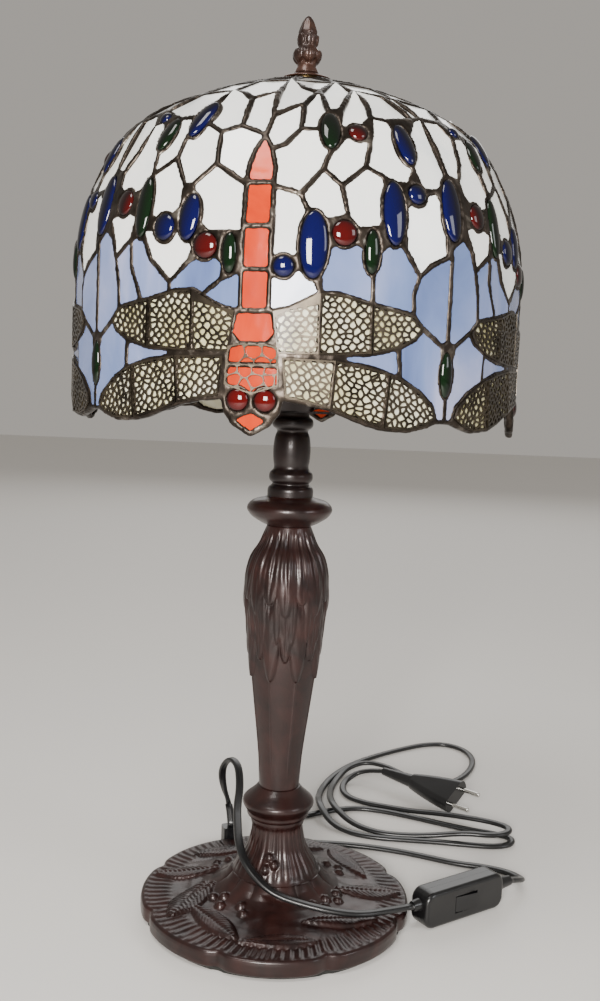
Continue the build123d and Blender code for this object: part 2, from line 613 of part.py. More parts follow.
def make_switch():
    length, height, depth = SWITCH_SIZE
    wall = 2
    window = (20.6, 12.6)
    for name, near_face, far_face in (("switch_cover", 0.05, depth / 2), ("switch_back", -0.05, -depth / 2)):
        side = 1 if far_face > 0 else -1
        with BuildPart() as shell:
            with BuildSketch(switch_plane(near_face)):
                RectangleRounded(length, height, 8)
            extrude(amount=far_face - near_face)
            fillet(shell.faces().sort_by(lambda face: (face.center() - switch_plane().origin).dot(
                switch_plane().z_dir) * side)[-1].edges(), radius=3)
            with BuildSketch(switch_plane(near_face)):
                RectangleRounded(length - 2 * wall, height - 2 * wall, 6)
            extrude(amount=far_face - near_face - side * wall, mode=Mode.SUBTRACT)
            if side > 0:
                with BuildSketch(switch_plane(near_face)):
                    Rectangle(*window)
                extrude(amount=depth, mode=Mode.SUBTRACT)
            else:
                with BuildSketch(switch_plane(far_face)):
                    with Locations((-SCREW_AT, 0), (SCREW_AT, 0)):
                        Circle(2)
                extrude(amount=wall, mode=Mode.SUBTRACT)
        shell.part.label = name
        export_step(shell.part, f"parts/{name}.step")

    face = depth / 2
    level = switch_plane(face - 3)
    tilted = Plane(level.origin, x_dir=level.x_dir.rotate(Axis.Z, -ROCKER_TILT),
                   z_dir=level.z_dir.rotate(Axis.Z, -ROCKER_TILT))
    with BuildPart() as rocker:
        with BuildSketch(tilted):
            Rectangle(18.6, 11)
        extrude(amount=4)
        with BuildSketch(Plane(switch_plane(face - 3).origin - Vector(0, 0, 5.9), z_dir=(0, 0, 1))):
            Circle(1.6)
        extrude(amount=11.8)
    rocker.part.label = "rocker"
    export_step(rocker.part, "parts/rocker.step")

    with BuildPart() as contacts:
        with BuildSketch(switch_plane(-depth / 2 + wall)):
            with Locations((-24, 6), (-24, -6), (24, 6), (24, -6)):
                Rectangle(9, 7)
        extrude(amount=7)
    save(contacts.part.solids(), "switch_terminals")

    with BuildPart() as screws:
        with BuildSketch(switch_plane(-depth / 2 - 0.4)):
            with Locations((-SCREW_AT, 0), (SCREW_AT, 0)):
                Circle(2)
        extrude(amount=8)
    save(screws.part.solids(), "switch_screws")


def taper(name, start, direction, length, near_radius, far_radius):
    """A strain relief: a cone along the lead."""
    plane = Plane(Vector(*start), z_dir=direction)
    with BuildPart() as relief:
        with BuildSketch(plane):
            Circle(near_radius)
        with BuildSketch(plane.offset(length)):
            Circle(far_radius)
        loft()
    relief.part.label = name
    export_step(relief.part, f"parts/{name}.step")


SWITCH_RELIEF_IN, SWITCH_RELIEF_OUT = 6, 14
SWITCH_HALF = SWITCH_SIZE[0] / 2


def make_switch_reliefs():
    turn = radians(SWITCH_ANGLE)
    along = Vector(cos(turn), sin(turn), 0)
    taper("switch_relief_in", along_switch(-SWITCH_HALF, LEAD_IN_HEIGHT), along * -1, SWITCH_RELIEF_IN, 4.4,
          3.4)
    taper("switch_relief_out", along_switch(SWITCH_HALF), along, SWITCH_RELIEF_OUT, 5, 3.6)


def plug_plane(distance):
    """Across the plug, at a distance in front of the lead's end: y points up its narrow side."""
    turn = radians(PLUG_ANGLE)
    ahead = Vector(cos(turn), sin(turn), 0)
    across = Vector(-sin(turn), cos(turn), 0).rotate(Axis((0, 0, 0), ahead), PLUG_ROLL)
    return Plane(Vector(*PLUG_REAR) + ahead * distance, x_dir=across, z_dir=ahead)


PLUG_RELIEF = 34
PLUG_BODY = 48
PIN_LENGTH = 19
PIN_SPACING = 18.6
PIN_RADIUS = 2


def make_plug():
    turn = radians(PLUG_ANGLE)
    taper("plug_relief", PLUG_REAR, Vector(cos(turn), sin(turn), 0), PLUG_RELIEF, 3.6, 6.2)
    with BuildPart() as body:
        with BuildSketch(plug_plane(PLUG_RELIEF)):
            RectangleRounded(14, 12, 5)
        with BuildSketch(plug_plane(PLUG_RELIEF + 22)):
            RectangleRounded(25, 13.4, 6)
        with BuildSketch(plug_plane(PLUG_RELIEF + PLUG_BODY)):
            RectangleRounded(33, 13.6, 6)
        loft()
    body.part.label = "plug_body"
    export_step(body.part, "parts/plug_body.step")
    with BuildPart() as pins:
        with BuildSketch(plug_plane(PLUG_RELIEF + PLUG_BODY)):
            with Locations((PIN_SPACING / 2, 0), (-PIN_SPACING / 2, 0)):
                Circle(PIN_RADIUS)
        extrude(amount=PIN_LENGTH)
        fillet(pins.edges().filter_by(GeomType.CIRCLE).group_by(
            lambda edge: edge.center().dot(plug_plane(0).z_dir))[-1], radius=1)
    save(pins.part.solids(), "plug_pins")


GLAND_RADIAL = 96
GLAND_AT = 112.5
GLAND_TOP = 22


gland_out = Vector(cos(radians(GLAND_AT)), sin(radians(GLAND_AT)), 0)
GLAND_MOUTH = gland_out * GLAND_RADIAL + Vector(0, 0, GLAND_TOP)


def make_gland():
    outward = gland_out
    centre = outward * GLAND_RADIAL + Vector(0, 0, 8)
    with BuildPart() as gland:
        with BuildSketch(Plane(centre, x_dir=outward, z_dir=(0, 0, 1))):
            RectangleRounded(11, 14, 2.5)
        extrude(amount=GLAND_TOP - 8)
    gland.part.label = "cord_gland"
    export_step(gland.part, "parts/cord_gland.step")


# from the gland up in an arch, past the trunk and over the base to the switch
LAMP_LEAD = [
    tuple(GLAND_MOUTH), (-38.5, 92, 38), (-44.5, 90, 54), (-45.5, 84, 71), (-39, 76, 82.5),
    (-31.5, 63, 82), (-29, 46, 71), (-30, 27, 63), (-28.5, 8, 58), (-26.5, -12, 52.5), (-21, -28, 46),
    (-11.5, -38, 38.5), (1, -43.5, 31.5), (18, -46, 27.5), (38, -49, 24.5), (58, -46.5, 21.5),
    (75, -37, 19.5), along_switch(-SWITCH_HALF - SWITCH_RELIEF_IN, LEAD_IN_HEIGHT),
]
# from the switch round behind the base, twice round the long loops, once round the wide one, to the plug
PLUG_LEAD = [
    along_switch(SWITCH_HALF + SWITCH_RELIEF_OUT), (184, 38, 10), (189, 51, 5), (182, 66, TABLE_CORD),
    (164, 74, TABLE_CORD), (143, 78, TABLE_CORD), (123, 87, TABLE_CORD), (101, 96, TABLE_CORD),
    (78, 102.5, TABLE_CORD), (54, 106.5, TABLE_CORD), (29, 107, TABLE_CORD), (5, 111, TABLE_CORD),
    (-9, 123, TABLE_CORD), (-7, 141, TABLE_CORD), (9, 154, TABLE_CORD), (28, 164, TABLE_CORD),
    (47, 175, TABLE_CORD), (70, 183, TABLE_CORD), (95, 177, TABLE_CORD), (119, 166, TABLE_CORD),
    (144, 153, TABLE_CORD), (167, 143, TABLE_CORD), (186, 137, TABLE_CORD), (198, 129, TABLE_CORD),
    (193, 116, TABLE_CORD), (178, 111.5, TABLE_CORD), (156, 114, TABLE_CORD), (132, 117.5, TABLE_CORD),
    (108, 119, TABLE_CORD), (84, 121, TABLE_CORD), (62, 128, TABLE_CORD), (46, 142, 5),
    (38, 160, 9.6), (35.5, 180, 9.6), (36.5, 202, 5), (40, 226, TABLE_CORD), (48, 250, TABLE_CORD),
    (61, 276, TABLE_CORD), (79, 300, TABLE_CORD), (101, 321, TABLE_CORD), (126, 341, TABLE_CORD),
    (151, 358, TABLE_CORD), (174, 362, TABLE_CORD), (191, 348, TABLE_CORD), (197, 325, TABLE_CORD),
    (193, 299, TABLE_CORD), (182, 273, TABLE_CORD), (166, 252, TABLE_CORD), (146, 247, TABLE_CORD),
    (124, 256, 5), (104, 270, 9.6), (84, 280, 9.6), (66, 273, 6), (56, 254, TABLE_CORD),
    (49, 230, TABLE_CORD), (46.5, 204, 6), (46.5, 180, 9.6), (51, 160, 9.6), (63, 144, 5),
    (84, 131, TABLE_CORD), (108, 127.5, TABLE_CORD), (132, 125.5, 5), (156, 120, 9.6), (177, 116.5, 9.6),
    (192, 122, 9.6), (196, 134, 9.6), (184, 144, 9.6), (164, 152, 9.6), (142, 163, 8), (118, 176, 4.5),
    (95, 188, TABLE_CORD), (75, 196, TABLE_CORD), (62, 209, TABLE_CORD), (58.5, 229, TABLE_CORD),
    (64, 247, 4.5), (80, 253.5, 11), PLUG_REAR,
]


def corner_radii(route):
    """The largest arcs that a route's runs allow."""
    radii = []
    for before, here, after in zip(route, route[1:], route[2:]):
        arrive = Vector(*here) - Vector(*before)
        leave = Vector(*after) - Vector(*here)
        half_turn = radians(arrive.get_angle(leave)) / 2
        radii.append(0.45 * min(arrive.length, leave.length) / tan(half_turn))
    return radii


def cord(name, route):
    radii = corner_radii(route)
    with BuildPart() as lead:
        with BuildLine() as line:
            FilletPolyline(*route, radius=radii)
        path = line.wires()[0]
        with BuildSketch(Plane(path @ 0, z_dir=path % 0)):
            Circle(CORD_RADIUS)
        sweep(path=path)
    lead.part.label = name
    export_step(lead.part, f"parts/{name}.step")
    share = lead.part.volume / (pi * CORD_RADIUS**2 * path.length)
    print(name, "length", round(path.length), "volume over section x length", round(share, 3))
    print("  arc radii", [round(radius) for radius in radii])


make_glass()
make_filigree()
make_jewels()
make_lattice()
make_base()
make_column()
make_rod()
make_socket()
make_bulb()
make_harp()
make_switch()
make_switch_reliefs()
make_plug()
make_gland()
cord("cord_lamp_lead", LAMP_LEAD)
cord("cord_plug_lead", PLUG_LEAD)
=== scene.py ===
from math import acos, atan2, cos, degrees, exp, hypot, pi, radians, sin, sqrt

import bpy
from mathutils import Matrix, Vector, geometry, noise


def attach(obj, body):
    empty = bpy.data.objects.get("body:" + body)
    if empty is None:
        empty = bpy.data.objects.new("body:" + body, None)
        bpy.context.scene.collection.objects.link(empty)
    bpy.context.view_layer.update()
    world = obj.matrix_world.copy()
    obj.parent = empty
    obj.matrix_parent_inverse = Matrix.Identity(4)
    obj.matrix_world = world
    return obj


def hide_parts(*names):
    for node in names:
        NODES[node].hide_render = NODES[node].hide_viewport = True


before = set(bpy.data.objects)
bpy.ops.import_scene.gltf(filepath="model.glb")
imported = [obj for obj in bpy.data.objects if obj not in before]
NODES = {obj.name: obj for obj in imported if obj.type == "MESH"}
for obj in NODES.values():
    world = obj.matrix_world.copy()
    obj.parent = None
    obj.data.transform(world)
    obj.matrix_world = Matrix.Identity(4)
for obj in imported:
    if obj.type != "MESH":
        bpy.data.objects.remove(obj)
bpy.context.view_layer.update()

MM = 0.001

# ======================================================================================
# camera
# ======================================================================================
CAMERA_PLACE = Vector((0, -0.717, 0.371))
PITCH, YAW, ROLL = radians(6.115), radians(0.55), radians(2.3)
LENS = 37.76
SENSOR = 36


def add_camera():
    ahead = Vector((sin(YAW) * cos(PITCH), cos(YAW) * cos(PITCH), -sin(PITCH)))
    level = Vector((cos(YAW), -sin(YAW), 0))
    upright = level.cross(ahead)
    right = level * cos(ROLL) + upright * sin(ROLL)
    up = upright * cos(ROLL) - level * sin(ROLL)
    data = bpy.data.cameras.new("camera")
    data.sensor_fit = "VERTICAL"
    data.sensor_height = SENSOR
    data.lens = LENS
    data.clip_start = 0.01
    data.clip_end = 50
    camera = bpy.data.objects.new("camera", data)
    turn = Matrix((right, up, -ahead)).transposed()
    camera.matrix_world = Matrix.Translation(CAMERA_PLACE) @ turn.to_4x4()
    bpy.context.scene.collection.objects.link(camera)
    bpy.context.scene.camera = camera


add_camera()


# ======================================================================================
# materials
# ======================================================================================
def material(name, color, roughness, metallic=0.0, coat=0.0, specular=0.5):
    made = bpy.data.materials.new(name)
    made.use_nodes = True
    shader = made.node_tree.nodes["Principled BSDF"]
    shader.inputs["Base Color"].default_value = (*color, 1)
    shader.inputs["Roughness"].default_value = roughness
    shader.inputs["Metallic"].default_value = metallic
    shader.inputs["Coat Weight"].default_value = coat
    shader.inputs["Coat Roughness"].default_value = 0.06
    shader.inputs["Specular IOR Level"].default_value = specular
    return made, made.node_tree, shader


def noise_node(tree, scale, detail=4.0, distortion=0.0, stretch=(1, 1, 1)):
    place = tree.nodes.new("ShaderNodeTexCoord")
    mapping = tree.nodes.new("ShaderNodeMapping")
    mapping.inputs["Scale"].default_value = stretch
    node = tree.nodes.new("ShaderNodeTexNoise")
    node.inputs["Scale"].default_value = scale
    node.inputs["Detail"].default_value = detail
    node.inputs["Distortion"].default_value = distortion
    tree.links.new(place.outputs["Object"], mapping.inputs["Vector"])
    tree.links.new(mapping.outputs["Vector"], node.inputs["Vector"])
    return node


def ramp(tree, source, stops, target):
    node = tree.nodes.new("ShaderNodeValToRGB")
    elements = node.color_ramp.elements
    while len(elements) < len(stops):
        elements.new(0.5)
    for element, (place, color) in zip(elements, stops):
        element.position = place
        element.color = (*color, 1)
    tree.links.new(source.outputs["Fac"], node.inputs["Fac"])
    tree.links.new(node.outputs["Color"], target)


def bump(tree, shader, source, strength, distance):
    node = tree.nodes.new("ShaderNodeBump")
    node.inputs["Strength"].default_value = strength
    node.inputs["Distance"].default_value = distance
    tree.links.new(source.outputs["Fac"], node.inputs["Height"])
    tree.links.new(node.outputs["Normal"], shader.inputs["Normal"])


def streaky(name, stops, scale, roughness=0.16, stretch=(1, 1, 1), wave=0.25, coat=0.5, specular=0.5):
    """Glass with cloudy streaks and a faintly wavy face."""
    made, tree, shader = material(name, stops[0][1], roughness, coat=coat, specular=specular)
    ramp(tree, noise_node(tree, scale, 5, 1.2, stretch), stops, shader.inputs["Base Color"])
    bump(tree, shader, noise_node(tree, 60, 2), wave, 0.001)
    return made


def patina(name, dark, light, roughness, metallic, grain=0.25):
    """Metal, plastic or cloth with patches between two tones and a fine grain."""
    made, tree, shader = material(name, dark, roughness, metallic=metallic, coat=0.15)
    ramp(tree, noise_node(tree, 55, 6, 0.6), [(0.35, dark), (0.75, light)], shader.inputs["Base Color"])
    bump(tree, shader, noise_node(tree, 420, 3), grain, 0.0003)
    return made


WHITE = streaky("opal_white", [
    (0.26, (0.66, 0.72, 0.74)), (0.40, (0.88, 0.90, 0.88)), (0.75, (0.96, 0.96, 0.93)),
], 16, stretch=(1, 1, 0.5))
LILAC = streaky("opal_lilac", [
    (0.30, (0.08, 0.12, 0.28)), (0.46, (0.14, 0.20, 0.40)), (0.60, (0.21, 0.26, 0.46)), (0.80, (0.44, 0.44, 0.60)),
], 14, stretch=(1, 1, 0.35))
CREAM = streaky("opal_cream", [
    (0.30, (0.55, 0.50, 0.24)), (0.5, (0.80, 0.76, 0.50)), (0.72, (0.90, 0.88, 0.74)),
], 26)
RED = streaky("opal_red", [
    (0.30, (0.44, 0.024, 0.003)), (0.52, (0.58, 0.044, 0.006)), (0.78, (0.62, 0.085, 0.025)),
], 30, 0.10, stretch=(1, 1, 0.4), coat=0.0, specular=0.3)
SOLDER, tree, shader = material("solder", (0.10, 0.07, 0.05), 0.34, metallic=0.85)
ramp(tree, noise_node(tree, 90, 5, 0.5), [
    (0.40, (0.022, 0.017, 0.013)), (0.62, (0.055, 0.043, 0.034)), (0.80, (0.30, 0.27, 0.23)),
], shader.inputs["Base Color"])
bump(tree, shader, noise_node(tree, 260, 3), 0.35, 0.0005)
FILIGREE = patina("filigree_brown", (0.022, 0.017, 0.012), (0.10, 0.080, 0.055), 0.30, 0.8, 0.1)
BRONZE = patina("bronze_brown", (0.010, 0.0032, 0.0028), (0.032, 0.0098, 0.0078), 0.34, 0.25)
BLACK_BRONZE = patina("bronze_black", (0.006, 0.003, 0.003), (0.018, 0.008, 0.007), 0.34, 0.30)
FINIAL = patina("finial_bronze", (0.022, 0.010, 0.007), (0.085, 0.038, 0.025), 0.34, 0.45)
BRASS = patina("brass", (0.50, 0.34, 0.13), (0.66, 0.48, 0.22), 0.28, 1.0, 0.05)
STEEL = patina("steel", (0.42, 0.42, 0.43), (0.60, 0.60, 0.60), 0.32, 1.0, 0.05)
IRON = patina("cast_iron", (0.06, 0.06, 0.06), (0.12, 0.12, 0.12), 0.6, 0.7, 0.5)
CERAMIC = streaky("ceramic", [(0.3, (0.75, 0.73, 0.69)), (0.7, (0.82, 0.80, 0.77))], 40, 0.35, wave=0.05)
FELT = patina("felt", (0.010, 0.010, 0.009), (0.022, 0.021, 0.019), 0.95, 0.0, 0.8)
BULB = streaky("bulb_white", [(0.3, (0.84, 0.84, 0.80)), (0.7, (0.90, 0.90, 0.87))], 10, 0.25, wave=0.0)
GLOSS = patina("black_gloss", (0.004, 0.004, 0.0045), (0.008, 0.008, 0.0085), 0.28, 0.0, 0.1)
CORD = patina("cord_black", (0.004, 0.004, 0.0045), (0.008, 0.008, 0.0085), 0.36, 0.0, 0.1)
NICKEL = patina("nickel", (0.62, 0.61, 0.58), (0.78, 0.77, 0.74), 0.16, 1.0, 0.03)


def jewel_glass(name, deep, painted_glow):
    """Dark glass with a painted glow: its colour turns brighter towards the middle, where it faces the view."""
    made, tree, shader = material(name, deep, 0.04, specular=0.45)
    # painted glow: the colour ramps from the glow colour where the face turns to the view to the deep colour at the
    # edge
    facing = tree.nodes.new("ShaderNodeLayerWeight")
    facing.inputs["Blend"].default_value = 0.5
    node = tree.nodes.new("ShaderNodeValToRGB")
    node.color_ramp.elements[0].position = 0.02
    node.color_ramp.elements[0].color = (*painted_glow, 1)
    node.color_ramp.elements[1].position = 0.42
    node.color_ramp.elements[1].color = (*deep, 1)
    tree.links.new(facing.outputs["Facing"], node.inputs["Fac"])
    tree.links.new(node.outputs["Color"], shader.inputs["Base Color"])
    return made


# each stone's deep colour, then the painted glow colour of its middle
JEWEL_GLASS = {
    "blue": jewel_glass("jewel_blue", (0.0002, 0.0003, 0.006), (0.0006, 0.0010, 0.050)),
    "green": jewel_glass("jewel_green", (0.0003, 0.0014, 0.0004), (0.0007, 0.010, 0.0015)),
    "red": jewel_glass("jewel_red", (0.006, 0.0002, 0.0003), (0.060, 0.0008, 0.001)),
    "eye": jewel_glass("jewel_eye", (0.010, 0.0002, 0.0003), (0.080, 0.001, 0.001)),
}

# the CAD pieces that show as they are, with their finish
KEPT = {
    "base_felt": FELT, "base_weight": IRON, "lamp_rod": STEEL, "rod_washer": STEEL,
    "rod_nut_bottom": STEEL, "rod_nut_top": STEEL, "harp_saddle": BLACK_BRONZE, "harp": BRASS,
    "harp_stud": BRASS, "socket_cup": BLACK_BRONZE, "socket_shell": BLACK_BRONZE,
    "socket_thread": BRASS, "socket_contact": BRASS, "socket_insulator": CERAMIC,
    "cord_gland": GLOSS, "switch_relief_in": GLOSS, "switch_cover": GLOSS, "switch_back": GLOSS,
    "switch_terminals": BRASS, "switch_screws": STEEL, "switch_relief_out": GLOSS, "plug_relief": GLOSS,
    "plug_body": GLOSS, "plug_pins": NICKEL, "rocker": GLOSS, "bulb_tip": BRASS, "bulb_cap": BRASS,
    "bulb_glass": BULB, "shade_ring": BRASS, "glass_white": WHITE, "glass_blue": LILAC,
    "wing_glass_upper": CREAM, "wing_glass_lower": CREAM, "body_glass": RED, "finial_insert": BRASS,
}
for node, finish in KEPT.items():
    NODES[node].data.materials.clear()
    NODES[node].data.materials.append(finish)


def add_mesh(name, vertices, faces, finish, body, nodes=(), smooth=True):
    """A new piece in metres, riding on a body and standing for CAD nodes."""
    mesh = bpy.data.meshes.new(name)
    mesh.from_pydata([tuple(vertex) for vertex in vertices], [], faces)
    mesh.validate()
    mesh.update()
    mesh.materials.append(finish)
    mesh.polygons.foreach_set("use_smooth", [smooth] * len(mesh.polygons))
    piece = bpy.data.objects.new(name, mesh)
    bpy.context.scene.collection.objects.link(piece)
    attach(piece, body)
    if nodes:
        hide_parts(*nodes)
    return piece


# ======================================================================================
# cords
# ======================================================================================
CORD_SIZE = 6  # wide side of the flex, in mm
CORD_THICK = 3.6  # each of its two cores
CORE_SIDES = 9  # points around the outer side of one core
RAISED, SUNK_OVER = 0.0125, 0.008  # m: below this height the flat cord sinks to lie on its side
LAMP_LEAD = [
    (-36.7, 88.7, 22), (-38.5, 92, 38), (-44.5, 90, 54), (-45.5, 84, 71), (-39, 76, 82.5),
    (-31.5, 63, 82), (-29, 46, 71), (-30, 27, 63), (-28.5, 8, 58), (-26.5, -12, 52.5), (-21, -28, 46),
    (-11.5, -38, 38.5), (1, -43.5, 31.5), (18, -46, 27.5), (38, -49, 24.5), (58, -46.5, 21.5),
    (75, -37, 19.5), (95.73, -22.66, 16.5),
]
PLUG_LEAD = [
    (173.93, 29.5, 13), (184, 38, 10), (189, 51, 5), (182, 66, 3), (164, 74, 3), (143, 78, 3),
    (123, 87, 3), (101, 96, 3), (78, 102.5, 3), (54, 106.5, 3), (29, 107, 3), (5, 111, 3), (-9, 123, 3),
    (-7, 141, 3), (9, 154, 3), (28, 164, 3), (47, 175, 3), (70, 183, 3), (95, 177, 3), (119, 166, 3),
    (144, 153, 3), (167, 143, 3), (186, 137, 3), (198, 129, 3), (193, 116, 3), (178, 111.5, 3),
    (156, 114, 3), (132, 117.5, 3), (108, 119, 3), (84, 121, 3), (62, 128, 3), (46, 142, 5),
    (38, 160, 9.6), (35.5, 180, 9.6), (36.5, 202, 5), (40, 226, 3), (48, 250, 3), (61, 276, 3),
    (79, 300, 3), (101, 321, 3), (126, 341, 3), (151, 358, 3), (174, 362, 3), (191, 348, 3),
    (197, 325, 3), (193, 299, 3), (182, 273, 3), (166, 252, 3), (146, 247, 3), (124, 256, 5),
    (104, 270, 9.6), (84, 280, 9.6), (66, 273, 6), (56, 254, 3), (49, 230, 3), (46.5, 204, 6),
    (46.5, 180, 9.6), (51, 160, 9.6), (63, 144, 5), (84, 131, 3), (108, 127.5, 3), (132, 125.5, 5),
    (156, 120, 9.6), (177, 116.5, 9.6), (192, 122, 9.6), (196, 134, 9.6), (184, 144, 9.6),
    (164, 152, 9.6), (142, 163, 8), (118, 176, 4.5), (95, 188, 3), (75, 196, 3), (62, 209, 3),
    (58.5, 229, 3), (64, 247, 4.5), (80, 253.5, 11), (98.5, 240, 15),
]


def smooth_path(name, points):
    """Points along the NURBS spline that has these control points."""
    data = bpy.data.curves.new(name + "_route", "CURVE")
    data.dimensions = "3D"
    data.resolution_u = 8
    spline = data.splines.new("NURBS")
    spline.points.add(len(points) - 1)
    for point, place in zip(spline.points, points):
        point.co = (*(value * MM for value in place), 1)
    spline.order_u = 3
    spline.use_endpoint_u = True
    line = bpy.data.objects.new(name + "_route", data)
    bpy.context.scene.collection.objects.link(line)
    mesh = bpy.data.meshes.new_from_object(line)
    path = [vertex.co.copy() for vertex in mesh.vertices]
    bpy.data.meshes.remove(mesh)
    bpy.data.objects.remove(line)
    return path


def flat_cord(name, points, **facts):
    """A flat twin flex: two round cores side by side, its wide side level."""
    path = smooth_path(name, points)
    half, core = CORD_SIZE / 2 * MM, CORD_THICK / 2 * MM
    around = []
    for side in (1, -1):
        for step in range(CORE_SIDES):
            angle = radians(-100 + 25 * step)
            around.append((side * (half - core + core * cos(angle)), side * core * sin(angle)))
    vertices, faces = [], []
    for index, place in enumerate(path):
        before, after = path[max(0, index - 1)], path[min(len(path) - 1, index + 1)]
        ahead = (after - before).normalized()
        level = Vector((ahead.y, -ahead.x, 0))
        if level.length < 0.25:
            level = Vector((1, 0, 0))
        across = level.normalized()
        rise = across.cross(ahead)
        sink = Vector((0, 0, (half - core) * min(1, max(0, (RAISED - place.z) / SUNK_OVER))))
        vertices += [place - sink + across * u + rise * v for u, v in around]
    count = len(around)
    for ring in range(len(path) - 1):
        for step in range(count):
            a, b = ring * count + step, ring * count + (step + 1) % count
            faces.append((a, b, b + count, a + count))
    faces.append(tuple(range(count)))
    faces.append(tuple(reversed(range(len(vertices) - count, len(vertices)))))
    piece = add_mesh(name, vertices, faces, CORD, "stand", (name.replace("flex", "cord"),))
    return piece


SWITCH_NODES = ["switch_relief_in", "switch_cover", "switch_back", "switch_terminals", "switch_screws",
                "switch_relief_out", "rocker"]
PLUG_NODES = ["plug_relief", "plug_body", "plug_pins"]
flat_cord("flex_lamp_lead", LAMP_LEAD, far_end="fitting", with_pieces=[NODES[name] for name in SWITCH_NODES])
flat_cord("flex_plug_lead", PLUG_LEAD, far_end="plug", with_pieces=[NODES[name] for name in PLUG_NODES])


# ======================================================================================
# shade: the same curve and pattern as the CAD
# ======================================================================================
APERTURE_RADIUS, SHADE_RADIUS, SKIRT_TOP = 15, 145, 440
LOW_ARC, LOW_END, MID_ARC, MID_END, TOP_ARC = 139, 34, 60, 62, 330
SHADE_TURN = -9.2
low_c = (SHADE_RADIUS - LOW_ARC, SKIRT_TOP)
low_e = (low_c[0] + LOW_ARC * cos(radians(LOW_END)), low_c[1] + LOW_ARC * sin(radians(LOW_END)))
mid_c = (low_e[0] - MID_ARC * cos(radians(LOW_END)), low_e[1] - MID_ARC * sin(radians(LOW_END)))
mid_e = (mid_c[0] + MID_ARC * cos(radians(MID_END)), mid_c[1] + MID_ARC * sin(radians(MID_END)))
top_c = (mid_e[0] - TOP_ARC * cos(radians(MID_END)), mid_e[1] - TOP_ARC * sin(radians(MID_END)))
TOP_ANGLE = degrees(acos((APERTURE_RADIUS - top_c[0]) / TOP_ARC))
TOP_LENGTH = radians(TOP_ANGLE - MID_END) * TOP_ARC
MID_LENGTH = radians(MID_END - LOW_END) * MID_ARC
LOW_LENGTH = radians(LOW_END) * LOW_ARC


def curve(down, out=0.0):
    """Radius, height and slope of the shade, a distance down from its opening and out of its face."""
    if down < TOP_LENGTH:
        centre, radius, tilt = top_c, TOP_ARC, TOP_ANGLE - degrees(down / TOP_ARC)
    elif down < TOP_LENGTH + MID_LENGTH:
        centre, radius, tilt = mid_c, MID_ARC, MID_END - degrees((down - TOP_LENGTH) / MID_ARC)
    elif down < TOP_LENGTH + MID_LENGTH + LOW_LENGTH:
        centre, radius, tilt = low_c, LOW_ARC, LOW_END - degrees((down - TOP_LENGTH - MID_LENGTH) / LOW_ARC)
    else:
        return SHADE_RADIUS + out, SKIRT_TOP - (down - TOP_LENGTH - MID_LENGTH - LOW_LENGTH), 0.0
    reach = radius + out
    return centre[0] + reach * cos(radians(tilt)), centre[1] + reach * sin(radians(tilt)), tilt


def shade_point(around, down, out=0.0):
    radius, height, _ = curve(down, out)
    turn = radians(around + SHADE_TURN)
    return Vector((radius * sin(turn), -radius * cos(turn), height))


def shade_axes(around, down, spin=0.0):
    """Across, upward and outward directions at a place on the shade."""
    tilt, turn = radians(curve(down)[2]), radians(around + SHADE_TURN)
    outward = Vector((sin(turn) * cos(tilt), -cos(turn) * cos(tilt), sin(tilt)))
    across = Vector((cos(turn), sin(turn), 0))
    upward = outward.cross(across)
    across, upward = (across * cos(radians(spin)) + upward * sin(radians(spin)),
                      upward * cos(radians(spin)) - across * sin(radians(spin)))
    return across, upward, outward


# stones: around, down, half width, half height, spin, colour
JEWELS = [
    (15.7, 128, 5.6, 12.5, 0, "green"), (22.6, 128, 5.6, 5.6, 0, "red"),
    (35.0, 132, 5.5, 13.5, 8, "blue"), (56.6, 114, 4.2, 4.2, 0, "blue"),
    (61.8, 128, 5.2, 11.5, -12, "green"), (71.3, 119, 5.4, 13.5, -18, "blue"),
    (5.9, 207, 5.9, 5.9, 0, "blue"), (12.1, 195, 7.8, 18.2, 0, "blue"),
    (18.6, 188, 7.1, 7.1, 0, "red"), (24.8, 197, 4.4, 12, 0, "green"),
    (30.0, 175, 6.9, 18, 0, "blue"), (36.0, 163, 5.8, 5.8, 0, "blue"),
    (45.6, 169, 6.9, 18.2, 0, "blue"), (54.4, 170, 6.6, 7.6, 0, "red"),
    (61.3, 174, 5.4, 17.5, 0, "green"), (68.0, 186, 6.9, 7.6, 0, "blue"),
    (74.3, 181, 6.2, 13, -6, "blue"), (78.6, 196.5, 7.3, 7.3, 0, "red"),
    (84.2, 200.5, 4.3, 11, 0, "green"), (45.0, 261, 4.4, 13.2, 0, "green"),
    (-3.0, 279, 6.3, 6.3, 0, "eye"), (3.0, 279, 6.3, 6.3, 0, "eye"),
]
JEWEL_NODES = {"blue": "jewels_blue", "green": "jewels_green", "red": "jewels_red", "eye": "dragonfly_eyes"}
DOME = 3.6
DOME_BACK, DOME_EDGE = -1.3, 0.9
DOME_SIDES = 28
DOME_RINGS = 7


def cabochon(around, down, half_width, half_height, spin):
    """A domed stone with a flat back."""
    across, upward, outward = shade_axes(around, down, spin)
    centre = shade_point(around, down)
    vertices, faces = [], []
    levels = [(1.0, DOME_BACK), (1.0, DOME_EDGE)]
    for ring in range(1, DOME_RINGS):
        angle = pi / 2 * ring / DOME_RINGS
        levels.append((cos(angle), DOME_EDGE + (DOME - DOME_EDGE) * sin(angle)))
    for share, out in levels:
        for step in range(DOME_SIDES):
            angle = 2 * pi * step / DOME_SIDES
            vertices.append(centre + across * (half_width * share * cos(angle))
                            + upward * (half_height * share * sin(angle)) + outward * out)
    vertices.append(centre + outward * DOME)
    for level in range(len(levels) - 1):
        for step in range(DOME_SIDES):
            a, b = level * DOME_SIDES + step, level * DOME_SIDES + (step + 1) % DOME_SIDES
            faces.append((a, b, b + DOME_SIDES, a + DOME_SIDES))
    last = (len(levels) - 1) * DOME_SIDES
    top = len(vertices) - 1
    faces += [(last + step, last + (step + 1) % DOME_SIDES, top) for step in range(DOME_SIDES)]
    faces.append(tuple(reversed(range(DOME_SIDES))))
    return vertices, faces


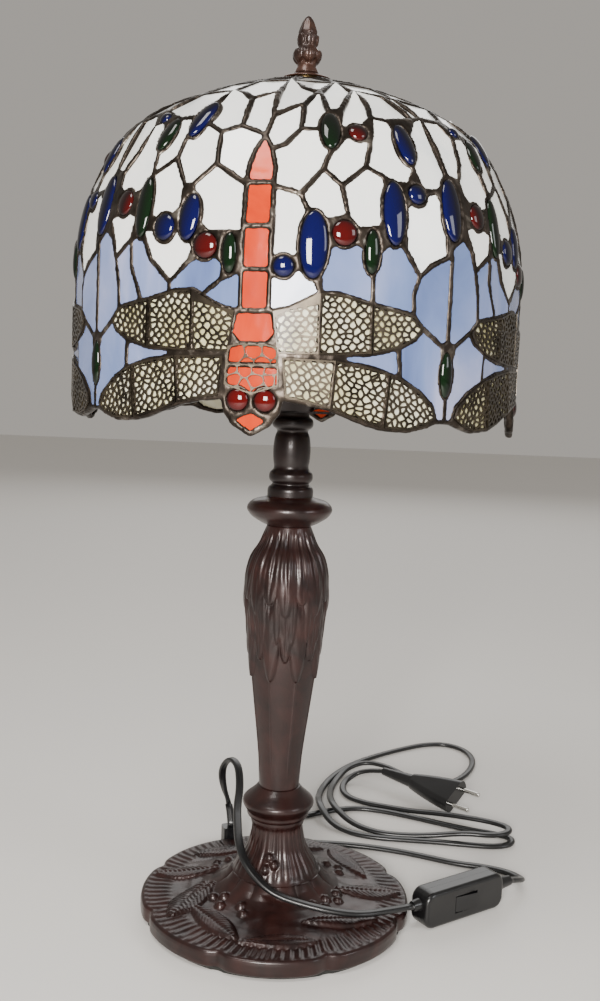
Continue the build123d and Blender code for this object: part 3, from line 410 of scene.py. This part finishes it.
def joined(parts):
    """One mesh from several (vertices, faces)."""
    vertices, faces = [], []
    for some, their in parts:
        base = len(vertices)
        vertices += some
        faces += [tuple(index + base for index in face) for face in their]
    return vertices, faces


for colour, node in JEWEL_NODES.items():
    stones = [cabochon(jewel[0] + 90 * quarter, *jewel[1:5])
              for quarter in range(4) for jewel in JEWELS if jewel[5] == colour]
    vertices, faces = joined(stones)
    vertices = [vertex * MM for vertex in vertices]
    add_mesh("cabochons_" + colour, vertices, faces, JEWEL_GLASS[colour], "shade", (node,))

# ---- solder: the leading's web, rounded into beads ----
SOLDER_VOXEL = 0.0009
SOLDER_SWELL = 0.00058
SOLDER_LUMPS = 0.0008


def add_solder():
    source = bpy.data.objects.new("solder_source", NODES["lead_lattice"].data.copy())
    bpy.context.scene.collection.objects.link(source)
    remesh = source.modifiers.new("remesh", "REMESH")
    remesh.mode = "VOXEL"
    remesh.voxel_size = SOLDER_VOXEL
    swell = source.modifiers.new("swell", "DISPLACE")
    swell.strength = SOLDER_SWELL
    swell.mid_level = 0
    soften = source.modifiers.new("soften", "SMOOTH")
    soften.factor = 0.5
    soften.iterations = 4
    clouds = bpy.data.textures.new("solder_lumps", "CLOUDS")
    clouds.noise_scale = 0.005
    lumps = source.modifiers.new("lumps", "DISPLACE")
    lumps.texture = clouds
    lumps.texture_coords = "LOCAL"
    lumps.strength = SOLDER_LUMPS
    lumps.mid_level = 0.5
    graph = bpy.context.evaluated_depsgraph_get()
    mesh = bpy.data.meshes.new_from_object(source.evaluated_get(graph))
    bpy.data.objects.remove(source)
    mesh.name = "solder_beads"
    mesh.materials.clear()
    mesh.materials.append(SOLDER)
    mesh.polygons.foreach_set("use_smooth", [True] * len(mesh.polygons))
    piece = bpy.data.objects.new("solder_beads", mesh)
    bpy.context.scene.collection.objects.link(piece)
    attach(piece, "shade")
    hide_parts("lead_lattice")


add_solder()

# ---- pierced filigree over the wings and the thorax ----
UPPER_WING = [
    [(4, 231), (7.5, 229), (14, 220.3), (14, 253), (5.2, 253.5)],
    [(14, 220.3), (18.5, 220.5), (25.3, 225), (25.5, 251.3), (17.7, 253), (14, 253)],
    [(25.3, 225), (33, 228), (35.3, 229.5), (37.8, 236), (36, 242), (32, 247.5), (25.5, 251.3)],
]
LOWER_WING = [
    [(6.2, 255.5), (17.8, 256), (17, 282), (11.5, 279), (7.2, 277)],
    [(17.8, 256), (25.5, 259), (30, 262), (29, 291.5), (22.5, 287), (17, 282)],
    [(30, 262), (32.5, 264), (37.6, 271), (41.4, 279), (42.3, 285), (39.3, 290), (35, 292.5), (29, 291.5)],
]
HEAD = [
    [(-3, 248.5), (-5.4, 250), (-5.8, 260), (5.8, 260), (5.4, 250), (3, 248.5)],
    [(-5.8, 260), (-6, 271), (0, 276), (6, 271), (5.8, 260)],
]
FILIGREE_IN, FILIGREE_OUT = 1.9, 2.9
# openings: spacing along, spacing across, web between two of them
WING_HOLE = (5.0, 2.75, 1.05)
HEAD_HOLE = (8.5, 6.2, 0.6)
OUTER_WEB, SEAM_WEB = 0.9, 0.32


def set_back(corners, gap):
    """The outline, moved inwards by a gap."""
    area = sum(x1 * y2 - x2 * y1 for (x1, y1), (x2, y2) in zip(corners, corners[1:] + corners[:1]))
    if area < 0:
        corners = corners[::-1]
    inner = []
    for before, here, after in zip(corners[-1:] + corners[:-1], corners, corners[1:] + corners[:1]):
        arrive = Vector((here[0] - before[0], here[1] - before[1])).normalized()
        leave = Vector((after[0] - here[0], after[1] - here[1])).normalized()
        half_turn = (arrive + leave).normalized()
        reach = gap / max(0.35, half_turn.dot(leave))
        inner.append((here[0] - half_turn.y * reach, here[1] + half_turn.x * reach))
    return inner


def clipped(polygon, point, normal):
    """The part of a convex polygon behind a line."""
    kept = []
    for here, after in zip(polygon, polygon[1:] + polygon[:1]):
        a, b = (here - point).dot(normal), (after - point).dot(normal)
        if a <= 0:
            kept.append(here)
        if (a < 0 < b) or (b < 0 < a):
            kept.append(here + (after - here) * (a / (a - b)))
    return kept


def openings(flat, gaps, slant, opening, origin):
    """Irregular rounded openings: the cells around scattered seeds, set apart by a web."""
    wide, high, web = opening
    reach = Vector((wide, wide * slant)) * 1.4
    rise = Vector((0, high * 1.4))
    sides = []
    for (x1, y1), (x2, y2), gap in zip(flat, flat[1:] + flat[:1], gaps):
        along = Vector((x2 - x1, y2 - y1)).normalized()
        normal = Vector((along.y, -along.x))
        if Vector((x1, y1)).dot(normal) < 0:
            normal = -normal
        sides.append((Vector((x1, y1)) - normal * gap, normal))
    seeds = []
    for line in range(-22, 23):
        for place in range(-14, 15):
            column = (place + (0.5 if line % 2 else 0)) * wide
            row = line * high + slant * column
            seed = Vector((column * 0.9 + origin.x, row * 0.9 + origin.y * 0.3, origin.z))
            seed = Vector((column + noise.noise(seed) * wide * 0.7,
                           row + noise.noise(seed + Vector((9, 5, 2))) * high * 0.6))
            if all((seed - point).dot(normal) < 1.2 for point, normal in sides):
                seeds.append(seed)
    holes = []
    for seed in seeds:
        cell = [seed - reach - rise, seed + reach - rise, seed + reach + rise, seed - reach + rise]
        for other in seeds:
            apart = other - seed
            if 0 < apart.length < 2.6 * wide:
                cell = clipped(cell, seed + apart / 2 - apart.normalized() * web / 2, apart.normalized())
        for point, normal in sides:
            cell = clipped(cell, point, normal)
        if len(cell) < 3:
            continue
        area = abs(sum(a.x * b.y - b.x * a.y for a, b in zip(cell, cell[1:] + cell[:1]))) / 2
        if area < 0.5:
            continue
        soft = []
        for here, after in zip(cell, cell[1:] + cell[:1]):
            if (after - here).length > 0.12:
                soft += [here.lerp(after, 0.24), here.lerp(after, 0.76)]
            else:
                soft.append(here.lerp(after, 0.5))
        holes.append([tuple(corner) for corner in soft])
    return holes


def pierced_plate(cell, gaps, slant, opening):
    """The facet of one wing piece, pierced with irregular rounded openings."""
    points = [shade_point(*corner) for corner in cell]
    centre = sum(points, Vector()) / len(points)
    normal = Vector()
    for first, second in zip(points, points[1:] + points[:1]):
        normal += (first - centre).cross(second - centre)
    if normal.dot(Vector((centre.x, centre.y, 0))) < 0:
        normal = -normal
    normal.normalize()
    across = Vector((-centre.y, centre.x, 0)).normalized()
    upward = normal.cross(across)
    flat = [((point - centre).dot(across), (point - centre).dot(upward)) for point in points]
    loops = [set_back(flat, 0.05)] + openings(flat, gaps, slant, opening, centre)
    verts2d, edges = [], []
    for loop in loops:
        base = len(verts2d)
        verts2d += [Vector(corner) for corner in loop]
        edges += [(base + index, base + (index + 1) % len(loop)) for index in range(len(loop))]
    coords, _, triangles, sources, _, _ = geometry.delaunay_2d_cdt(verts2d, edges, [], 1, 1e-5)
    loop_of = [index for index, loop in enumerate(loops) for _ in loop]
    owner = [loop_of[source[0]] if source else 0 for source in sources]
    triangles = [(a, b, c) for a, b, c in triangles if not (owner[a] == owner[b] == owner[c] and owner[a])]
    count = len(coords)
    vertices = [centre + across * point.x + upward * point.y + normal * out
                for out in (FILIGREE_IN, FILIGREE_OUT) for point in coords]
    faces = []
    used = {}
    for triangle in triangles:
        a, b, c = triangle
        turn = (coords[b] - coords[a]).cross(coords[c] - coords[a])
        if turn < 0:
            a, b, c = a, c, b
        faces.append((a + count, b + count, c + count))
        faces.append((a, c, b))
        for one, two in ((a, b), (b, c), (c, a)):
            used[(one, two)] = True
    for one, two in used:
        if (two, one) not in used:
            faces.append((one, two, two + count, one + count))
    return vertices, faces


def edge_gaps(cells, cell):
    """A narrow web where an edge meets the next facet of the same wing, a wide one elsewhere."""
    shared = {corner for other in cells if other is not cell for corner in other}
    return [SEAM_WEB if a in shared and b in shared else OUTER_WEB for a, b in zip(cell, cell[1:] + cell[:1])]


plates = []
for quarter in range(4):
    for cells, slant in ((UPPER_WING, 0.06), (LOWER_WING, -0.25)):
        for cell in cells:
            for side in (1, -1):
                corners = [(side * around + 90 * quarter, down) for around, down in cell]
                plates.append(pierced_plate(corners, edge_gaps(cells, cell), slant * side, WING_HOLE))
    for cell in HEAD:
        corners = [(around + 90 * quarter, down) for around, down in cell]
        plates.append(pierced_plate(corners, edge_gaps(HEAD, cell), 0, HEAD_HOLE))
vertices, faces = joined(plates)
vertices = [vertex * MM for vertex in vertices]
add_mesh("pierced_filigree", vertices, faces, FILIGREE, "shade", ("filigree",), smooth=False)


# ======================================================================================
# cast and turned pieces with their relief
# ======================================================================================
def rounded(profile, rounds=2):
    """The profile with its corners cut, so that turned rings read as soft."""
    for _ in range(rounds):
        softer = [profile[0]]
        for (r1, z1), (r2, z2) in zip(profile, profile[1:]):
            softer.append((r1 * 0.78 + r2 * 0.22, z1 * 0.78 + z2 * 0.22))
            softer.append((r1 * 0.22 + r2 * 0.78, z1 * 0.22 + z2 * 0.78))
        softer.append(profile[-1])
        profile = softer
    return profile


def resampled(profile, step):
    """The profile with points about one step apart."""
    points = [profile[0]]
    for (r1, z1), (r2, z2) in zip(profile, profile[1:]):
        count = max(1, round(hypot(r2 - r1, z2 - z1) / step))
        points += [(r1 + (r2 - r1) * index / count, z1 + (z2 - z1) * index / count)
                   for index in range(1, count + 1)]
    return points


def lathe(name, profile, finish, body, node, relief=None, step=1.0, sides=192, soften=2):
    """A turned piece, closed at both ends, with a relief of (degrees, radius, height) millimetres."""
    points = resampled(rounded(profile, soften), step)
    vertices, faces = [], []
    for index, (radius, height) in enumerate(points):
        r1, z1 = points[max(0, index - 1)]
        r2, z2 = points[min(len(points) - 1, index + 1)]
        run = hypot(r2 - r1, z2 - z1) or 1
        out_r, out_z = (z2 - z1) / run, -(r2 - r1) / run
        end = index in (0, len(points) - 1)
        for side in range(sides):
            degree = 360 * side / sides
            lift = relief(degree, radius, height) if relief and not end else 0
            around = radians(degree)
            reach = radius + lift * out_r
            vertices.append(Vector((reach * sin(around), -reach * cos(around), height + lift * out_z)) * MM)
    for ring in range(len(points) - 1):
        for side in range(sides):
            a, b = ring * sides + side, ring * sides + (side + 1) % sides
            faces.append((a, b, b + sides, a + sides))
    faces.append(tuple(reversed(range(sides))))
    faces.append(tuple(range(len(vertices) - sides, len(vertices))))
    return add_mesh(name, vertices, faces, finish, body, (node,))


def between(value, low, high):
    """0 below low, 1 above high, and a smooth rise in the middle."""
    share = min(1, max(0, (value - low) / (high - low)))
    return share * share * (3 - 2 * share)


def leaf(degree, place, count, phase, root, tip, fullness, thick, veins=0.25):
    """One tier of overlapping leaves from root to tip, as a lift."""
    cell = (degree - phase) * count / 360
    across = (cell - round(cell)) * 2 / fullness
    along = (place - root) / (tip - root)
    if along <= 0 or along >= 1:
        return 0
    half = sqrt(max(0, 1 - along**3.2)) * min(1, 0.55 + along)
    if abs(across) >= half:
        return 0
    edge = min(1, (1 - abs(across) / half) * 5)
    crown = 1 - 0.45 * (across / half) ** 2
    rib = -0.45 * exp(-(across / 0.10) ** 2) + veins * 0.5 * sin(abs(across) * 9 + along * 22)
    return thick * between(along, 0, 0.35) * edge * crown + rib * edge * min(1, thick)


def shaft_relief(degree, radius, height):
    """Eight flat facets below, three tiers of hanging leaves above them, and grooves at the top."""
    facets = 8
    around = ((degree + 22.5) % (360 / facets)) - 180 / facets
    flat = radius * (cos(radians(180 / facets)) / cos(radians(around)) - 1) * 0.55
    ease = between(height, 92, 120) * (1 - between(height, 205, 228))
    lift = flat * ease + 0.35 * exp(-((abs(around) - 180 / facets) / 1.6) ** 2) * ease
    lift += max(leaf(degree, height, 8, 22.5, 236, 172, 0.80, 1.7),
                leaf(degree, height, 8, 2, 240, 186, 0.62, 2.2),
                leaf(degree, height, 16, 11, 244, 199, 0.60, 2.5, 0.1),
                leaf(degree, height, 8, 0, 272, 218, 0.86, 3.0, 0.1),
                leaf(degree, height, 8, 22.5, 272, 226, 0.80, 2.6, 0.1))
    ridges = 0.4 * sin(radians(degree * 24)) + 0.3 * sin(radians(degree * 40))
    lift += ridges * between(height, 232, 250) * (1 - between(height, 268, 276))
    return lift - 1.9 * between(height, 172, 226) * (1 - between(height, 262, 277))


# berries on the trunk's foot: around, height
TRUNK_BERRIES = [(-12, 47), (-3, 43), (-16, 40), (150, 45), (160, 41), (230, 44)]
TRUNK_BERRY = 3


def trunk_relief(degree, radius, height):
    """Berries on the foot, and wavy grooves up to the ring under the collar."""
    for around, middle in TRUNK_BERRIES:
        away = hypot(radius * radians((degree - around + 180) % 360 - 180), height - middle)
        if away < TRUNK_BERRY:
            return sqrt(TRUNK_BERRY**2 - away**2) * 0.9
    swing = 14 * sin(radians(height * 5 + degree * 2))
    broad = abs(sin(radians(degree * 4 + swing)))
    fine = abs(sin(radians(degree * 15 + swing * 2)))
    return (0.9 * broad**0.5 + 0.75 * fine**0.6 - 1.1) * between(height, 31, 36) * (1 - between(height, 63, 68))


def finial_relief(degree, radius, height):
    """Three tiers of leaves and a ribbed tip."""
    lift = max(leaf(degree, height, 6, 8, 581, 590.5, 0.96, 1.5, 0.05),
               leaf(degree, height, 6, 38, 583, 592, 0.9, 1.0, 0.05),
               leaf(degree, height, 5, 22, 592.5, 601, 0.96, 1.2, 0.05))
    ridges = 0.22 * sin(radians(degree * 7)) * between(height, 600, 603) * (1 - between(height, 608, 611.5))
    return lift + ridges - 0.5 * between(height, 581, 583) * (1 - between(height, 600, 603))


# berries on the base: around, reach
BERRIES = [(-52, 44), (-60, 49), (-46, 51), (-30, 45), (-24, 51), (38, 44), (46, 49), (54, 44),
           (62, 50), (70, 46), (112, 50), (122, 54), (130, 49), (236, 52), (246, 48), (228, 47)]
BERRY = 3.6
# leaves on the base: around, reach, turn from radial, half length, half width
LEAVES = [(-38, 66, 78, 27, 11), (2, 74, 92, 27, 9), (44, 64, 60, 27, 10), (86, 66, 15, 24, 12),
          (128, 68, 80, 28, 11), (172, 66, 100, 28, 11), (214, 66, 70, 26, 11), (256, 66, 12, 24, 12),
          (292, 64, 40, 24, 13), (-66, 60, 30, 22, 12)]


def base_relief(degree, radius, height):
    """Leaves, berries and a hatched rim on the upper face of the foot."""
    if radius < 27 or height < 6:
        return 0
    lift = 0.0
    turn = radians(degree)
    ripple = 0.35 * noise.noise(Vector((radius * 0.12 * cos(turn), radius * 0.12 * sin(turn), 3)))
    for around, reach, spin, long, wide in LEAVES:
        x = radius * sin(radians(degree)) - reach * sin(radians(around))
        y = radius * cos(radians(degree)) - reach * cos(radians(around))
        heading = radians(around + spin)
        along = (x * sin(heading) + y * cos(heading)) / long
        across = (x * cos(heading) - y * sin(heading)) / wide
        if abs(along) >= 1:
            continue
        half = (1 - along**2) * (0.8 + 0.25 * along)
        if abs(across) >= half:
            continue
        edge = min(1, (1 - abs(across) / half) * 6)
        veins = 0.35 * sin(22 * (along * long / wide - abs(across)) + 1)
        lift = max(lift, edge * (2.4 - 0.9 * (across / half) ** 2 + veins - 0.8 * exp(-(across / 0.09) ** 2)))
    hatch = 0.5 * sin(radians(degree * 90 + radius * 10)) * between(radius, 72, 78) * (1 - between(radius, 91, 93))
    lift = lift + (hatch if lift < 0.4 else 0) + ripple
    lift += 1.6 * abs(sin(radians(degree * 7))) ** 0.6 * (1 - between(radius, 30, 44))
    for around, reach in BERRIES:
        away = hypot(radius * sin(radians(degree)) - reach * sin(radians(around)),
                     radius * cos(radians(degree)) - reach * cos(radians(around)))
        if away < BERRY:
            lift = max(lift, sqrt(BERRY**2 - away**2) - 0.6)
    rim = between(radius, 89, 94)
    return lift * (1 - rim * 0.8)


BASE_PROFILE = [(88, 2), (93.8, 2), (95, 3.5), (95, 12), (92.8, 13.6), (84, 14), (66, 15.8), (48, 19.2),
                (36, 24.5), (30, 31)]
NOTCHES = 8
NOTCH_DEEP = 2.6
SIDE_BOW = 1.2


def add_base():
    """The foot, its outline pulled in at eight notches."""
    piece = lathe("base_cast", BASE_PROFILE, BRONZE, "stand", "base_casting", base_relief, 0.8, 480, 1)
    for vertex in piece.data.vertices:
        place = vertex.co / MM
        radius = hypot(place.x, place.y)
        if radius < 70:
            continue
        around = (degrees(atan2(place.y, place.x)) - 22.5) % (360 / NOTCHES)
        around = min(around, 360 / NOTCHES - around)
        bow = SIDE_BOW * (1 - around / (180 / NOTCHES)) ** 2
        pull = (NOTCH_DEEP * exp(-(around / 3.4) ** 2) + bow) * between(radius, 74, 94)
        scale = (radius - pull) / radius
        vertex.co = Vector((place.x * scale, place.y * scale, place.z)) * MM


add_base()
lathe("trunk_cast", [(31, 31), (29.4, 33), (27, 38), (23, 44), (20, 50), (18.3, 58), (17.5, 64), (19, 67),
                     (19, 70)], BRONZE, "stand", "trunk", trunk_relief, 0.8)
lathe("collar_lower", [(20, 70), (21.8, 71.5), (21.8, 74.5), (23.4, 76.5), (25.3, 79.5), (24.9, 82.5),
                       (21.5, 85.5), (18, 88.5), (15, 92)], BRONZE, "stand", "lower_collar", None, 0.6, 96, 3)
lathe("shaft_cast", [(14, 92), (16.5, 120), (20.8, 153), (25.5, 190), (28.4, 215), (29, 230), (27, 248),
                     (20, 266), (15, 277)], BRONZE, "stand", "shaft", shaft_relief, 0.9, 288, 2)
lathe("collar_disc", [(15, 277), (19, 278.5), (26.5, 283), (29.6, 287.5), (28.8, 291), (25, 294.3), (17.5, 296),
                      (16, 297)], BRONZE, "stand", "disc_collar", None, 0.6, 96, 3)
lathe("neck_turned", [(15.7, 297), (15.7, 303), (12, 305.5), (15, 308), (15, 313), (11.5, 316), (12.6, 322),
                      (12.9, 330), (12, 338), (10, 342), (14, 344.5), (14, 349.5), (11, 351.5), (11, 354)],
      BLACK_BRONZE, "stand", "neck", None, 0.6, 96, 2)
lathe("cap_top", [(3.3, 571.4), (16.8, 571.4), (17, 572.4), (11, 574.6), (8, 575.8), (7, 576)],
      FINIAL, "shade_cap", "top_cap", None, 0.5, 96, 1)
lathe("finial_cast", [(4.5, 576), (8.4, 576), (7.2, 579), (6.2, 581), (7.0, 583.5), (8.9, 586), (9.1, 589),
                      (7.4, 592), (6.2, 594), (6.7, 597), (6.9, 599.5), (6.1, 603), (5.0, 606), (3.8, 609),
                      (2.6, 611.4), (1.3, 612.7), (0.1, 613)], FINIAL, "finial", "finial", finial_relief, 0.4, 120, 1)


# ======================================================================================
# floor and light
# ======================================================================================
FLOOR_REACH = 6


def add_stage():
    mesh = bpy.data.meshes.new("floor")
    reach = FLOOR_REACH
    corners = [(-reach, -reach, 0), (reach, -reach, 0), (reach, reach, 0), (-reach, reach, 0)]
    mesh.from_pydata(corners, [], [(0, 1, 2, 3)])
    floor_paint, _, _ = material("floor_pale", (0.74, 0.72, 0.69), 0.55, specular=0.3)
    mesh.materials.append(floor_paint)
    floor = bpy.data.objects.new("floor", mesh)
    floor.location.z = -0.0003
    bpy.context.scene.collection.objects.link(floor)


def add_light(name, place, target, size, power, color):
    data = bpy.data.lights.new(name, "AREA")
    data.size = size
    data.energy = power
    data.color = color
    light = bpy.data.objects.new(name, data)
    light.location = place
    light.rotation_euler = (Vector(target) - Vector(place)).to_track_quat("-Z", "Y").to_euler()
    bpy.context.scene.collection.objects.link(light)


add_stage()
add_light("key", (-0.22, -1.45, 0.62), (0, 0, 0.35), 0.42, 38, (1.0, 0.97, 0.93))
add_light("top", (-0.5, -0.7, 1.9), (0, 0, 0.4), 0.6, 14, (1.0, 0.98, 0.95))
add_light("fill", (2.6, -1.6, 1.4), (0, 0, 0.35), 1.1, 24, (0.95, 0.97, 1.0))
add_light("back", (0.2, 2.4, 1.8), (0, 0, 0.35), 2.0, 22, (1.0, 1.0, 1.0))
world = bpy.data.worlds.new("studio")
world.use_nodes = True
world.node_tree.nodes["Background"].inputs["Color"].default_value = (0.82, 0.775, 0.715, 1)
world.node_tree.nodes["Background"].inputs["Strength"].default_value = 0.50
bpy.context.scene.world = world
